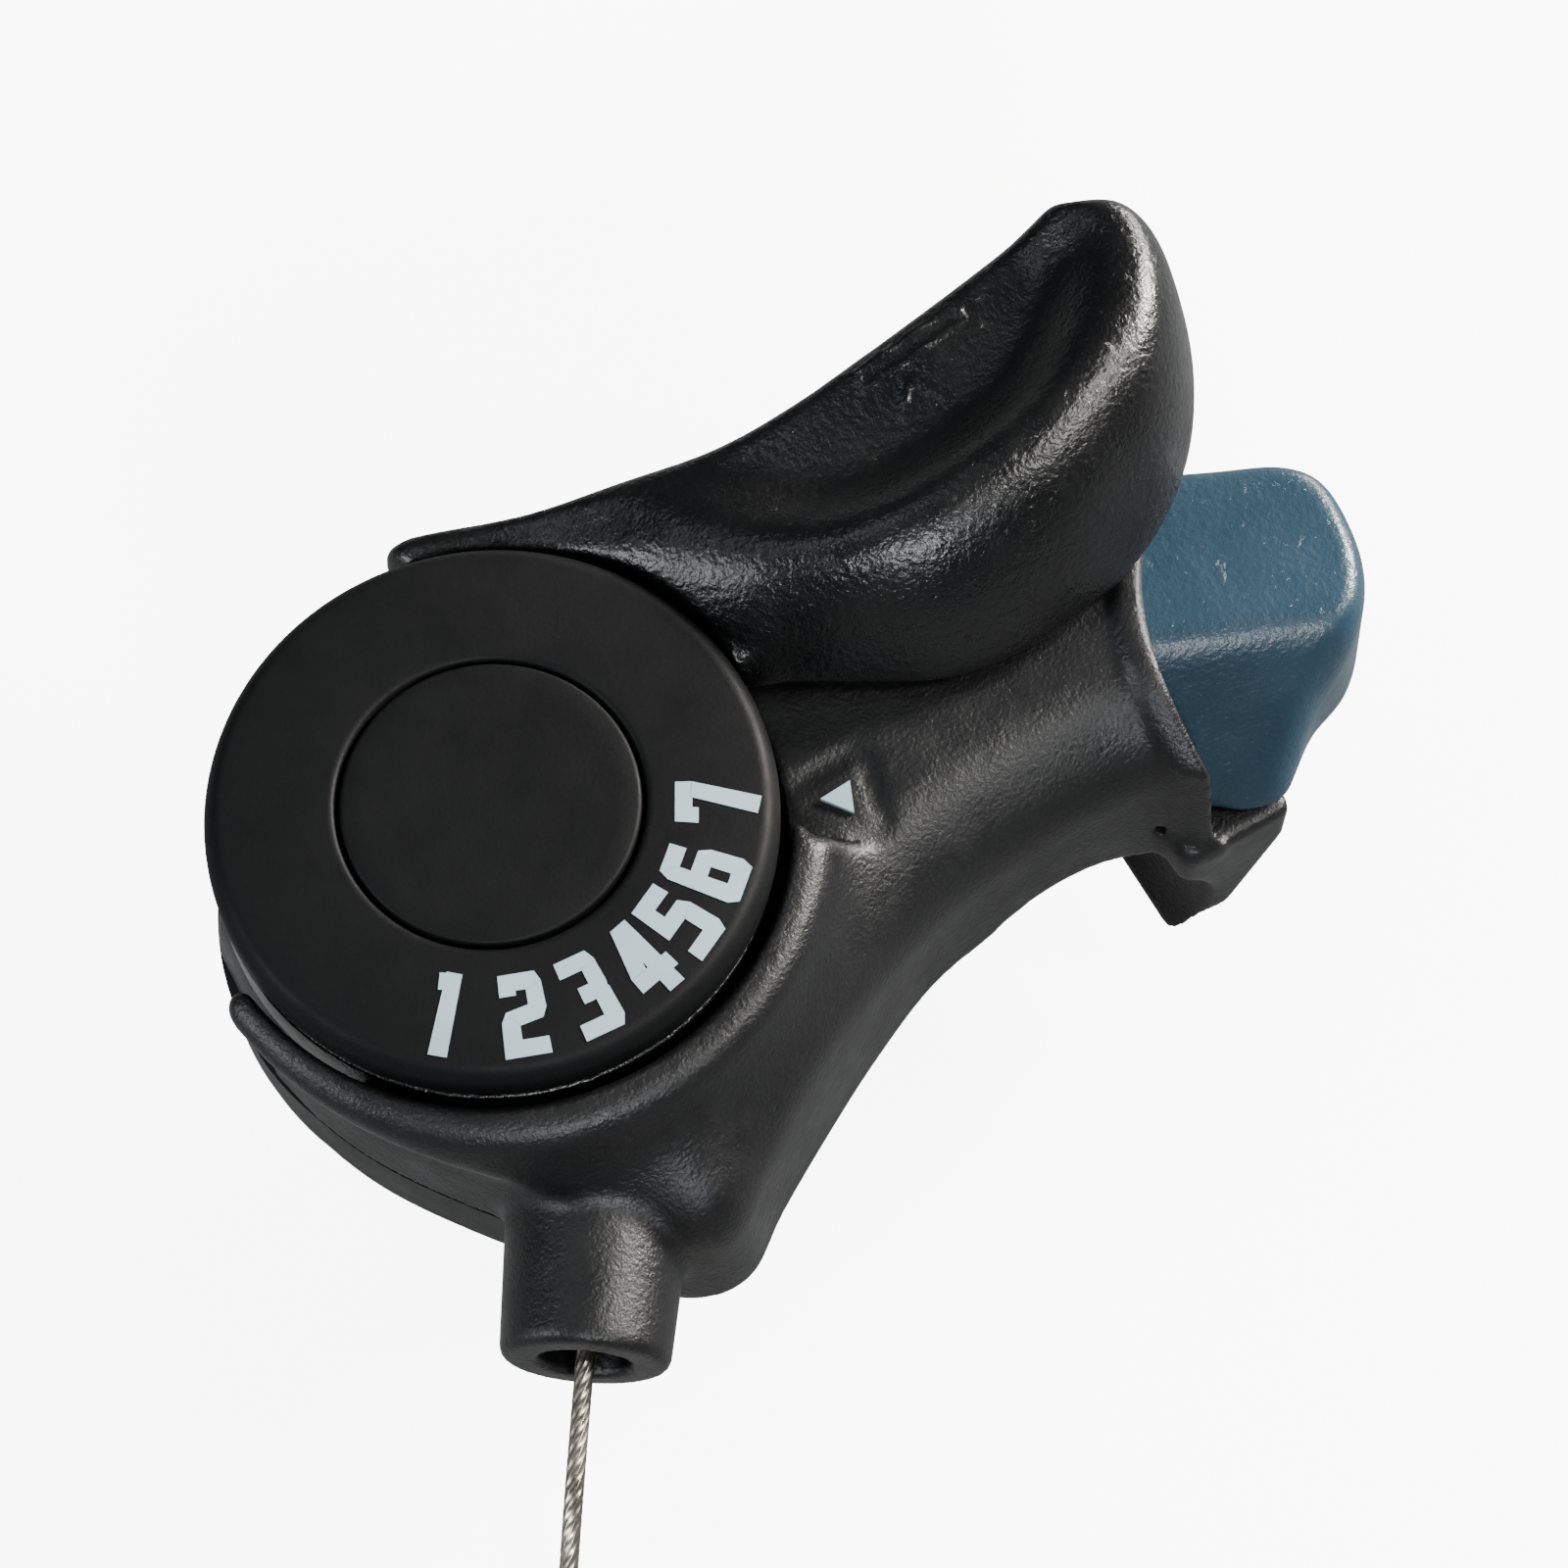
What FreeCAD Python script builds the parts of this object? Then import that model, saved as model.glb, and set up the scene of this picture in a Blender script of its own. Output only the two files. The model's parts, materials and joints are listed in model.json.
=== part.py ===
"""Bicycle thumb shifter with a seven-step dial, a release button and a bar clamp, in millimetres.

It is drawn about the lever's pivot: the pivot axis is Z, the neck runs along +X and z = 0 is the
flat underside of the base cover. Every piece is then moved so that the origin is at the middle of
the handlebar bore, with the bar along Y.
"""
import FreeCAD
import Part
import math
import os

from FreeCAD import Vector as V

# Handlebar and its saddle
BAR_R = 11.1
BAR_X, BAR_Y, BAR_Z = 32.0, -6.5, -7.6
CLAW_TIP_Z = -14.0
NEAR_Y, FAR_Y = -18.6, 5.5          # the claw's two ends

# Housing
BASE_T = 2.0                        # base cover plate
PARTING_Z = 6.4                     # top of the base cover's wall
SEAT_Z = 15.0                       # the recess round the lever's hub
DECK_Z = 16.4                       # the housing's top outside that
NECK_Z = 17.0
CAVITY_R = 16.3
BODY_R = 19.0
COLLAR_R, COLLAR_OUT_R, COLLAR_Z = 18.1, 20.9, 20.2
COLLAR_FROM, COLLAR_TO = 186.0, 340.0

# Cable
CABLE_R = 0.6
CABLE_Z = 8.3
CABLE_DEG = -124.0                  # the way the cable leaves
GROOVE_R = 7.7                      # of the cable's centre on the drum
BOSS_R, BOSS_END = 5.45, 31.0
BORE_R, BORE_DEPTH = 2.85, 6.5
EXIT_AT = 23.0                      # where the cable becomes free, along its line

# Lever, dial and what turns with them
SWING = 101.0
POST_R = 3.0
BUSH_R = 4.5
DRUM_Z, DRUM_R = 4.0, 10.8
NIPPLE_R, NIPPLE_AT, NIPPLE_DEG = 2.0, 8.0, 120.0
PLATE_Z, PLATE_T, PLATE_R = 12.0, 1.2, 13.4
HUB_Z, HUB_TOP, HUB_R = 15.4, 19.3, 17.4
DIAL_R, DIAL_RIM_Z, DIAL_TOP_Z = 17.5, 20.0, 23.6
CAP_R = 9.15
CLICKS = 7
STEP = SWING / (CLICKS - 1)
TIP_DEG = 27.0                      # where the click spring's tip sits in its notch

# Release button
TRAVEL = 2.0
END_X, END_Y, END_R = 57.9, -13.5, 16.8   # the neck ends on this upright cylinder
RIM_T = 1.5                         # rim round the button at that end
POCKET_X = 39.4
ROD_Y, ROD_Z, ROD_R = -6.0, 12.0, 0.9
STEM_Z = 9.6

STRAP_T = 1.8
FLOOR_Z = BAR_Z - BAR_R - STRAP_T   # what the spare cable lies on, level with the strap's underside


def face(points):
    return Part.Face(Part.makePolygon([V(*p) for p in points] + [V(*points[0])]))


def prism(points, low, high):
    """A straight prism over a plan outline of (x, y) points."""
    return face([(x, y, low) for x, y in points]).extrude(V(0, 0, high - low))


def disc(radius, low, high, x=0.0, y=0.0):
    return Part.makeCylinder(radius, high - low, V(x, y, low))


def ring(outer, inner, low, high, x=0.0, y=0.0):
    return disc(outer, low, high, x, y).cut(disc(inner, low - 1, high + 1, x, y))


def turned(profile, angle=360.0, start=0.0):
    """A solid turned about Z from (radius, z) points."""
    solid = face([(r, 0, z) for r, z in profile]).revolve(V(0, 0, 0), V(0, 0, 1), angle)
    solid.rotate(V(0, 0, 0), V(0, 0, 1), start)
    return solid


def polar(radius, degrees, z=0.0):
    a = math.radians(degrees)
    return V(radius * math.cos(a), radius * math.sin(a), z)


def softened(shape, radius, pick):
    """The shape with the picked edges rounded, or as it was where no such round exists."""
    edges = [e for e in shape.Edges if pick(e)]
    for r in (radius, radius * 0.6, radius * 0.35):
        try:
            rounded = shape.makeFillet(r, edges)
        except Exception:
            continue
        if rounded.isValid() and rounded.Volume > 0.8 * shape.Volume:
            return rounded
    return shape


def height(edge):
    return edge.BoundBox.ZMin, edge.BoundBox.ZMax


def hexagon(across, low, high, x, y):
    r = across / math.sqrt(3)
    return prism([(x + r * math.cos(math.radians(60 * i)), y + r * math.sin(math.radians(60 * i)))
                  for i in range(6)], low, high)


def along_cable(distance, side=0.0, z=CABLE_Z):
    """A point on the line of the cable's straight run, from its tangent point on the drum."""
    start = polar(GROOVE_R, CABLE_DEG + 90)
    way = polar(1, CABLE_DEG)
    return V(start.x + way.x * distance - way.y * side, start.y + way.y * distance + way.x * side, z)


def cable_rod(radius, start, end):
    return Part.makeCylinder(radius, end - start, along_cable(start), polar(1, CABLE_DEG))


def bar_rod(radius, y0, y1):
    return Part.makeCylinder(radius, y1 - y0, V(BAR_X, y0, BAR_Z), V(0, 1, 0))


def bar_plate(points, y0, y1):
    """A prism along Y over (x, z) points."""
    return face([(x, y0, z) for x, z in points]).extrude(V(0, y1 - y0, 0))


# ---------------------------------------------------------------- housing

# The housing's near side in plan, from the dial's far left round the cable stop to the neck's end.
NEAR_SIDE = [(-18.6, -3.2), (-17.6, -7.2), (-15.9, -11.2), (-13.2, -15.4), (-9.6, -20.0), (-5.4, -24.6),
             (-1.6, -27.9), (1.9, -28.2), (5.6, -25.7), (10.3, -22.9), (16.0, -19.8), (22.0, -17.2),
             (28.0, -16.2), (34.0, -16.0), (38.6, -16.5), (42.0, -18.4), (46.0, -19.6)]


def offset_points(points, inset, closed=False):
    """The points moved to their left by inset, square to the line through each one's neighbours."""
    last = len(points) - 1
    moved = []
    for i, (x, y) in enumerate(points):
        before = points[i - 1] if i > 0 or closed else points[0]
        after = points[(i + 1) % (last + 1)] if i < last or closed else points[last]
        dx, dy = after[0] - before[0], after[1] - before[1]
        way = math.hypot(dx, dy)
        moved.append((x - dy / way * inset, y + dx / way * inset))
    return moved


def plan(inset=0.0):
    """The housing's plan as one solid column: the round body, the wedge to the cable stop and the neck."""
    near = offset_points(NEAR_SIDE, inset)
    curve = Part.BSplineCurve()
    curve.interpolate([V(x, y, -30) for x, y in near])
    far = [near[-1], (52, near[-1][1]), (52, FAR_Y - inset), (26, FAR_Y + 1 - inset),
           (12, FAR_Y + 5 - inset),
           (0, 6), near[0]]
    edges = [curve.toShape()] + [Part.makeLine(V(*p, -30), V(*q, -30)) for p, q in zip(far, far[1:])]
    column = Part.Face(Part.Wire(edges)).extrude(V(0, 0, 70))
    return column.fuse(disc(BODY_R - inset, -30, 40)).removeSplitter()


def slab(low, high):
    return Part.makeBox(160, 160, high - low, V(-80, -80, low))


def upper_housing():
    body = plan().common(slab(BASE_T, DECK_Z)).common(
        prism([(-40, -40), (24, -40), (24, 40), (-40, 40)], -5, 40))
    collar = turned([(COLLAR_R, DECK_Z - 2), (COLLAR_R, COLLAR_Z - 0.8), (COLLAR_R + 0.8, COLLAR_Z),
                     (COLLAR_OUT_R - 1.2, COLLAR_Z - 0.3), (COLLAR_OUT_R, COLLAR_Z - 1.6),
                     (COLLAR_OUT_R + 1.6, DECK_Z - 0.6), (COLLAR_OUT_R + 1.6, DECK_Z - 2)],
                    COLLAR_TO - COLLAR_FROM, COLLAR_FROM).common(plan().common(slab(0, 30)))
    # The neck: its deck rises a little to the rim round the button, and the claw hangs from its end.
    profile = [(16, BASE_T), (16, DECK_Z), (24, DECK_Z), (36, NECK_Z), (50, NECK_Z + 0.3), (50, 1.0),
               (47.4, -1.0), (44.4, -8.0), (41.4, CLAW_TIP_Z), (39.6, CLAW_TIP_Z), (39.6, -9), (30, 0),
               (26, BASE_T)]
    neck = bar_plate(profile, -24, FAR_Y + 4)
    past_end = disc(END_R, -40, 50, END_X, END_Y)
    neck = neck.common(plan()).cut(past_end).cut(disc(HUB_R + 0.9, SEAT_Z, 40))
    shell = body.fuse(neck).removeSplitter()
    shell = softened(shell, 2.6, lambda e: height(e)[0] > DECK_Z - 0.3 and e.BoundBox.YMax < -12)
    rim = disc(END_R + RIM_T, 3.0, NECK_Z + 0.9, END_X, END_Y).cut(past_end)
    rim = rim.common(plan(0.3)).common(
        bar_plate([(36, 0), (36, NECK_Z + 0.9), (50, NECK_Z + 0.9), (50, 0)], -17.2, FAR_Y))
    rim = softened(rim, 0.5, lambda e: height(e)[0] > NECK_Z + 0.8)
    claw = bar_plate([(41, 4.2), (47.5, 4.2), (47.5, -0.6), (44.2, -8.0), (41.4, CLAW_TIP_Z),
                      (39.6, CLAW_TIP_Z),
                      (39.6, 0)], NEAR_Y, FAR_Y)
    claw = softened(claw, 0.7, lambda e: e.BoundBox.YLength > 20 and height(e)[1] > -1
                    and e.BoundBox.XMin > 47)
    root = bar_plate([(BOLT_X - 4.4, -8.0), (BOLT_X - 4.4, 0.0), (16.6, 0.0), (16.6, 4.0), (24, 4.0),
                      (24, -8.0)],
                     BAND_FROM, BAND_TO)
    shell = shell.fuse([collar, rim, claw, root])
    # Space for the base cover's wall on the open side of the round body.
    left = prism([(-30, 30), (-30, -30), (-9.5, -30), (-7.2, -15.4), (20, 30)], -1, PARTING_Z + 0.05)
    shell = shell.cut(left).fuse(cable_rod(BOSS_R, 12, BOSS_END)).removeSplitter()

    shell = shell.cut(disc(CAVITY_R, -0.5, 40))
    shell = shell.cut(disc(HUB_R + 0.6, SEAT_Z, 40))
    shell = shell.cut(bar_rod(BAR_R, -40, 40))
    shell = shell.cut(cable_rod(BORE_R, BOSS_END - BORE_DEPTH, BOSS_END + 2))
    shell = shell.cut(cable_rod(CABLE_R + 0.5, 0, BOSS_END))
    # Pocket for the button, its stem, its spring and the push rod.
    room = button_column(0.35).common(slab(4.2, BUTTON_TOP + 0.35)).cut(above_slope(0.45))
    behind = prism([(POCKET_X, -40), (70, -40), (70, 40), (POCKET_X, 40)], -10, 40)
    for step in (0, TRAVEL / 3, TRAVEL * 2 / 3, TRAVEL):
        shell = shell.cut(room.translated(V(-step, 0, 0)).common(behind))
    shell = shell.cut(Part.makeBox(12.4, 7.4, 6.4, V(28.0, ROD_Y - 3.7, STEM_Z - 3.2)))
    shell = shell.cut(Part.makeCylinder(1.5, 5, V(23.4, ROD_Y, STEM_Z), V(1, 0, 0)))
    shell = shell.cut(Part.makeCylinder(ROD_R + 0.3, 20, V(13, ROD_Y, ROD_Z), V(1, 0, 0)))
    # Room behind the click spring, open to the round cavity.
    shell = shell.cut(prism([(10, -9), (19.6, -9), (19.6, 3.4), (14, 9.5), (10, 9.5)], 10.6, 14.4))
    for x, y in SCREW_AT:
        shell = shell.fuse(disc(2.6, PARTING_Z + 0.05, 10.4, x, y).common(plan().common(slab(0, 30))))
        shell = shell.cut(disc(1.1, -1, 9.5, x, y))
    # The clamp bolt's nut is let into the underside of the neck's root.
    shell = shell.cut(disc(BOLT_R + 0.2, -9, 9.4, BOLT_X, BOLT_Y))
    shell = shell.cut(hexagon(7.2, 5.5, 9.6, BOLT_X, BOLT_Y))
    return biggest(shell)


SCREW_AT = [(-12.0, 10.9), (13.4, -17.0), (-11.7, -11.2)]
BOLT_X, BOLT_Y, BOLT_R = 18.6, -0.5, 2.0
BAND_FROM, BAND_TO = -6.0, 5.0      # the clamp band's two edges along the bar
EAR_LOW, EAR_TOP = -13.2, -9.8


def biggest(shape):
    return max(shape.Solids, key=lambda s: s.Volume)


def base_cover():
    cover = plan(0.7).common(slab(0, BASE_T - 0.05))
    cover = cover.cut(bar_rod(BAR_R + 1.2, -40, 40))
    cover = cover.cut(Part.makeBox(30, 60, 10, V(17.0, -30, -5)))
    cover = cover.cut(Part.makeBox(20, BAND_TO - BAND_FROM + 0.6, 10, V(BOLT_X - 4.6, BAND_FROM - 0.3, -5)))
    cover = softened(cover, 0.8, lambda e: height(e)[1] < 0.01)
    left = prism([(-30, 30), (-30, -30), (-9.8, -30), (-7.6, -15.4), (19.5, 30)], -1, PARTING_Z)
    wall = plan(0.5).cut(disc(CAVITY_R, -40, 50)).common(left).common(slab(BASE_T - 0.05, PARTING_Z))
    wall = wall.cut(cable_rod(BOSS_R + 0.15, 5, 40))
    cover = cover.fuse(wall)
    for x, y in SCREW_AT:
        bossed = disc(2.6, BASE_T - 0.1, PARTING_Z if x < 0 else BASE_T - 0.05, x, y)
        cover = cover.fuse(bossed.common(plan(0.5).common(slab(0, 30))))
        cover = cover.cut(disc(1.45, -1, 20, x, y)).cut(disc(2.3, -1, 1.3, x, y))
    cover = cover.cut(disc(2.5, 1.0, 5))
    return biggest(cover.removeSplitter())


def cover_screws():
    screws = []
    for x, y in SCREW_AT:
        head = disc(2.1, 0.2, 1.25, x, y).cut(cross(x, y, 0.2, 0.9, 1.3, 0.45, up=False))
        screws.append(head.fuse(disc(1.1, 1.2, 9.2, x, y)))
    return Part.makeCompound(screws)


def cross(x, y, z, depth, reach, width, up=True):
    """A crosshead recess, cut from z upwards or from z downwards into a head."""
    low = z - 0.05 if not up else z - depth
    bar = Part.makeBox(2 * reach, width, depth + 0.05, V(x - reach, y - width / 2, low))
    other = Part.makeBox(width, 2 * reach, depth + 0.05, V(x - width / 2, y - reach, low))
    return bar.fuse(other)


def pivot_post():
    post = disc(6.0, BASE_T, 3.4).fuse(disc(2.5, 1.0, BASE_T)).fuse(disc(POST_R, 3.4, 17.5))
    return post.cut(disc(1.6, 8.0, 30)).removeSplitter()


def pivot_screw():
    screw = disc(1.6, 9.0, 18.7).fuse(disc(4.6, 18.7, 20.6))
    screw = softened(screw, 0.5, lambda e: height(e)[0] > 20.5)
    return screw.cut(cross(0, 0, 20.6, 1.3, 2.2, 0.9)).removeSplitter()


def thrust_washer():
    return ring(6.6, 1.75, 18.0, 18.65)


def wave_washer():
    """A spring washer between the lever hub and the thrust washer, drawn at its pressed height."""
    return ring(6.4, 3.3, 17.5, 17.95)


def click_spring():
    """A bent strip: its tip rests in a notch, it hooks round its post, and its tail meets the rod."""
    thick, low, high = 0.55, 11.6, 13.7
    tip = polar(PLATE_R - 0.75, TIP_DEG)
    out = polar(PLATE_R + 1.1, TIP_DEG + 7)
    back = polar(PLATE_R + 1.2, TIP_DEG - 7)
    line = [(out.x, out.y), (tip.x, tip.y), (back.x, back.y), (16.0, 1.8), (15.8, -2.4), (16.6, -7.6)]
    strip = None
    for (x0, y0), (x1, y1) in zip(line, line[1:]):
        way = math.hypot(x1 - x0, y1 - y0)
        nx, ny = -(y1 - y0) / way * thick / 2, (x1 - x0) / way * thick / 2
        piece = prism([(x0 + nx, y0 + ny), (x0 - nx, y0 - ny), (x1 - nx, y1 - ny), (x1 + nx, y1 + ny)],
                      low, high).fuse(disc(thick / 2, low, high, x1, y1))
        strip = piece if strip is None else strip.fuse(piece)
    return biggest(strip.removeSplitter())


def spring_post():
    """The pin that the click spring rocks on, in the housing beside its room."""
    return disc(1.0, 10.6, 14.4, 17.35, -0.4)


def balance_spring():
    """A flat strip wound in a spiral round the drum's neck, which evens out the cable's pull."""
    thick, low, high = 0.5, 13.6, 15.0
    turns, steps = 2.25, 28

    def side(offset):
        curve = Part.BSplineCurve()
        curve.interpolate([polar(8.7 + 3.4 * i / steps + offset, 20 + 360 * turns * i / steps, low)
                           for i in range(steps + 1)])
        return curve.toShape()

    inner, outer = side(-thick / 2), side(thick / 2)
    ends = [Part.makeLine(inner.Vertexes[k].Point, outer.Vertexes[k].Point) for k in (0, -1)]
    return Part.Face(Part.Wire(Part.__sortEdges__([inner, outer] + ends))).extrude(V(0, 0, high - low))


def button_spring():
    """The round-wire coil that pushes the button out again."""
    radius, wire, pitch, turns = 1.15, 0.22, 1.2, 5.0
    path = Part.makeHelix(pitch, pitch * turns, radius)
    section = Part.Wire([Part.makeCircle(wire, V(radius, 0, 0), V(0, 1, 0))])
    spring = Part.Wire(path.Edges).makePipeShell([section], True, True)
    spring.rotate(V(0, 0, 0), V(0, 1, 0), 90)
    spring.translate(V(23.9, ROD_Y, STEM_Z))
    return spring


# ---------------------------------------------------------------- bar clamp

def clamp_band():
    """The strap under the bar, hooked over the claw's tip and drawn up by the bolt at the other end."""
    strap = bar_rod(BAR_R + STRAP_T, BAND_FROM, BAND_TO).cut(bar_rod(BAR_R, -40, 40))
    below = bar_plate([(10, -40), (10, EAR_TOP), (BAR_X, BAR_Z), (41.2, CLAW_TIP_Z - 0.35), (60, -22),
                       (60, -40)],
                      BAND_FROM, BAND_TO)
    ear = bar_plate([(14.4, EAR_LOW), (14.4, EAR_TOP), (24, EAR_TOP), (24, EAR_LOW)], BAND_FROM, BAND_TO)
    ear = ear.cut(bar_rod(BAR_R, -40, 40))
    toe = bar_plate([(40.9, -16.9), (42.4, -16.4), (46.4, -9.4), (45.2, -8.6), (41.2, CLAW_TIP_Z - 0.35)],
                    BAND_FROM, BAND_TO)
    toe = toe.cut(bar_plate([(47.65, -1.0), (44.65, -10.0), (41.55, CLAW_TIP_Z - 0.25),
                             (30, CLAW_TIP_Z - 0.25),
                             (30, 0)], -40, 40))
    band = strap.common(below).fuse([ear, toe])
    band = band.cut(disc(BOLT_R + 0.3, -20, 0, BOLT_X, BOLT_Y)).cut(disc(3.7, -40, EAR_LOW, BOLT_X, BOLT_Y))
    return biggest(band.removeSplitter())


def clamp_bolt():
    bolt = disc(BOLT_R, EAR_LOW, 9.2, BOLT_X, BOLT_Y).fuse(
        disc(3.5, EAR_LOW - 3.8, EAR_LOW, BOLT_X, BOLT_Y))
    bolt = softened(bolt, 0.5, lambda e: height(e)[1] < EAR_LOW - 3.7)
    return bolt.cut(hexagon(3.0, EAR_LOW - 4, EAR_LOW - 1.6, BOLT_X, BOLT_Y)).removeSplitter()


def clamp_nut():
    return hexagon(7.0, 5.6, 8.8, BOLT_X, BOLT_Y).cut(disc(BOLT_R, 0, 20, BOLT_X, BOLT_Y))


# ---------------------------------------------------------------- lever, dial and drum

def bushing():
    return ring(BUSH_R, POST_R + 0.05, 3.5, 17.4)


def cable_drum():
    floor = GROOVE_R - CABLE_R - 0.05
    drum = turned([(BUSH_R, DRUM_Z), (DRUM_R, DRUM_Z), (DRUM_R, 6.4), (floor, 7.6), (floor, 9.0),
                   (DRUM_R, 10.2), (DRUM_R, PLATE_Z), (8.0, PLATE_Z), (8.0, HUB_Z), (BUSH_R, HUB_Z)])
    pocket = polar(NIPPLE_AT, NIPPLE_DEG)
    return drum.cut(disc(NIPPLE_R + 0.1, DRUM_Z - 1, 9.95, pocket.x, pocket.y))


def cable_nipple():
    """The cast barrel on the cable's end, upright in the drum's pocket."""
    at = polar(NIPPLE_AT, NIPPLE_DEG)
    return disc(NIPPLE_R, 5.6, 9.9, at.x, at.y)


def index_plate():
    plate = ring(PLATE_R, 8.0, PLATE_Z, PLATE_Z + PLATE_T)
    for i in range(CLICKS):
        at = polar(PLATE_R + 0.15, TIP_DEG - i * STEP)
        plate = plate.cut(disc(1.5, PLATE_Z - 1, PLATE_Z + 3, at.x, at.y))
    return plate


def outline_at(table, x):
    """Straight-line reading of a short table of (x, value) pairs."""
    for (x0, v0), (x1, v1) in zip(table, table[1:]):
        if x <= x1:
            return v0 + (v1 - v0) * (x - x0) / (x1 - x0)
    return table[-1][1]


NEAR_EDGE = [(8, 10.5), (17, 1.8), (25, -2.9), (33, -5.8), (42, -4.9), (48, -1.6), (53, 4.2), (55, 8.5)]
RIDGE_Y = [(8, 14.4), (17, 12.4), (25, 4.4), (33, 2.5), (42, 3.9), (48, 7.8), (53, 11.2), (55, 12.0)]
RIDGE_Z = [(8, 21.5), (17, 23.6), (25, 26.7), (33, 28.6), (42, 29.3), (48, 29.2), (53, 27.4), (55, 25.2)]
FAR_EDGE = [(8, 18.2), (17, 15.8), (25, 14.3), (33, 14.7), (42, 15.9), (48, 16.6), (53, 16.2), (55, 14.8)]
FAR_Z = [(8, 21.2), (17, 22.8), (25, 24.2), (33, 25.0), (42, 25.8), (48, 26.6), (53, 26.4), (55, 24.8)]
ARM_Z = 18.0
STATIONS = [x for x, _ in NEAR_EDGE]


def arm_section(x):
    """The arm's closed cross-section at x: a steep near side, a ridge, a scooped floor and a far edge."""
    near, far = outline_at(NEAR_EDGE, x), outline_at(FAR_EDGE, x)
    ridge, top, edge = (outline_at(t, x) for t in (RIDGE_Y, RIDGE_Z, FAR_Z))
    floor = min(top, edge) - 1.0
    points = [(near + 0.6, ARM_Z), (near, ARM_Z + 1.5),
              (near + (ridge - near) * 0.45, ARM_Z + (top - ARM_Z) * 0.72), (ridge, top),
              (ridge + (far - ridge) * 0.4, floor + 0.2), (ridge + (far - ridge) * 0.75, floor + 0.3),
              (far - 0.5, edge - 0.2), (far, edge - 1.6), (far - 0.6, ARM_Z)]
    curve = Part.BSplineCurve()
    curve.interpolate([V(x, y, z) for y, z in points])
    return Part.Wire([curve.toShape(), Part.makeLine(V(x, points[-1][0], points[-1][1]),
                                                     V(x, points[0][0], points[0][1]))])


def lever():
    arm = Part.makeLoft([arm_section(x) for x in STATIONS], True, False)
    hub = ring(HUB_R, BUSH_R, HUB_Z, HUB_TOP).cut(disc(7.2, 17.5, 40))
    arm = arm.cut(disc(DIAL_R + 0.5, HUB_TOP, 60)).cut(disc(HUB_R - 1, 0, HUB_TOP))
    arm = biggest(arm)
    bridge = turned([(HUB_R - 2, HUB_Z + 2.7), (HUB_R + 2.4, HUB_Z + 2.7), (HUB_R + 2.4, HUB_TOP + 1.6),
                     (DIAL_R + 0.5, HUB_TOP + 1.6), (DIAL_R + 0.5, HUB_TOP), (HUB_R - 2, HUB_TOP)], 74, 4)
    return biggest(hub.fuse([arm, bridge]).removeSplitter())


def dial_plate():
    dial = turned([(CAP_R + 0.2, HUB_TOP), (15.2, HUB_TOP), (15.4, DIAL_RIM_Z), (DIAL_R, DIAL_RIM_Z),
                   (DIAL_R, DIAL_TOP_Z - 2.0), (DIAL_R - 0.5, DIAL_TOP_Z - 1.1),
                   (DIAL_R - 1.6, DIAL_TOP_Z - 0.6),
                   (CAP_R + 0.2, DIAL_TOP_Z)])
    return dial


def dial_cap():
    cap = turned([(0, 21.6), (7.6, 21.6), (7.6, HUB_TOP + 0.4), (CAP_R, HUB_TOP + 0.4),
                  (CAP_R, DIAL_TOP_Z - 0.1),
                  (CAP_R - 0.3, DIAL_TOP_Z + 0.1), (0, DIAL_TOP_Z + 0.3)])
    return cap


# ---------------------------------------------------------------- release button

BUTTON_TOP = 15.4
RIDGE_AT = (48.9, -10.9)            # a point on the ridge between the button's top and its sloping face
FALL = (-0.37, -0.93)               # the way that face falls, in plan
BUTTON_PLAN = [(40.0, 3.4), (47.5, 3.0), (53.4, 0.7), (57.2, -1.2), (58.9, -3.8), (58.6, -8.0),
               (57.2, -11.4),
               (54.6, -14.0), (51.2, -15.4), (48.9, -17.0), (46.9, -18.3), (44.6, -18.1), (43.0, -16.4),
               (40.0, -14.0)]


def button_column(grow=0.0):
    """The button's plan, wider by grow all round."""
    points = offset_points(BUTTON_PLAN, grow, closed=True)
    curve = Part.BSplineCurve()
    curve.interpolate([V(x, y, -30) for x, y in points], PeriodicFlag=True)
    return Part.Face(Part.Wire([curve.toShape()])).extrude(V(0, 0, 70))


def above_slope(lift=0.0):
    """The space above the button's sloping face."""
    x, y = RIDGE_AT
    fx, fy = FALL
    section = face([(x, y, BUTTON_TOP + lift), (x + 14 * fx, y + 14 * fy, BUTTON_TOP + lift - 18.2),
                    (x + 14 * fx, y + 14 * fy, 40), (x, y, 40)])
    section.translate(V(40 * fy, -40 * fx, 0))
    return section.extrude(V(-80 * fy, 80 * fx, 0))


def release_button():
    pad = button_column().common(slab(4.5, BUTTON_TOP)).cut(above_slope())
    pad = pad.common(prism([(41.6, -40), (70, -40), (70, 40), (41.6, 40)], -10, 40))
    pad = softened(pad, 1.6, lambda e: height(e)[0] > 4.6 and e.BoundBox.XMax > 43.0)
    stem = Part.makeBox(13.4, 6.8, 5.8, V(28.6 + TRAVEL, ROD_Y - 3.4, STEM_Z - 2.9))
    return biggest(pad.fuse(stem).cut(push_rod()).removeSplitter())


def push_rod():
    reach = Part.makeCylinder(ROD_R, 14.6, V(17.2, ROD_Y, ROD_Z), V(1, 0, 0))
    return reach


# ---------------------------------------------------------------- cable

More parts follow.
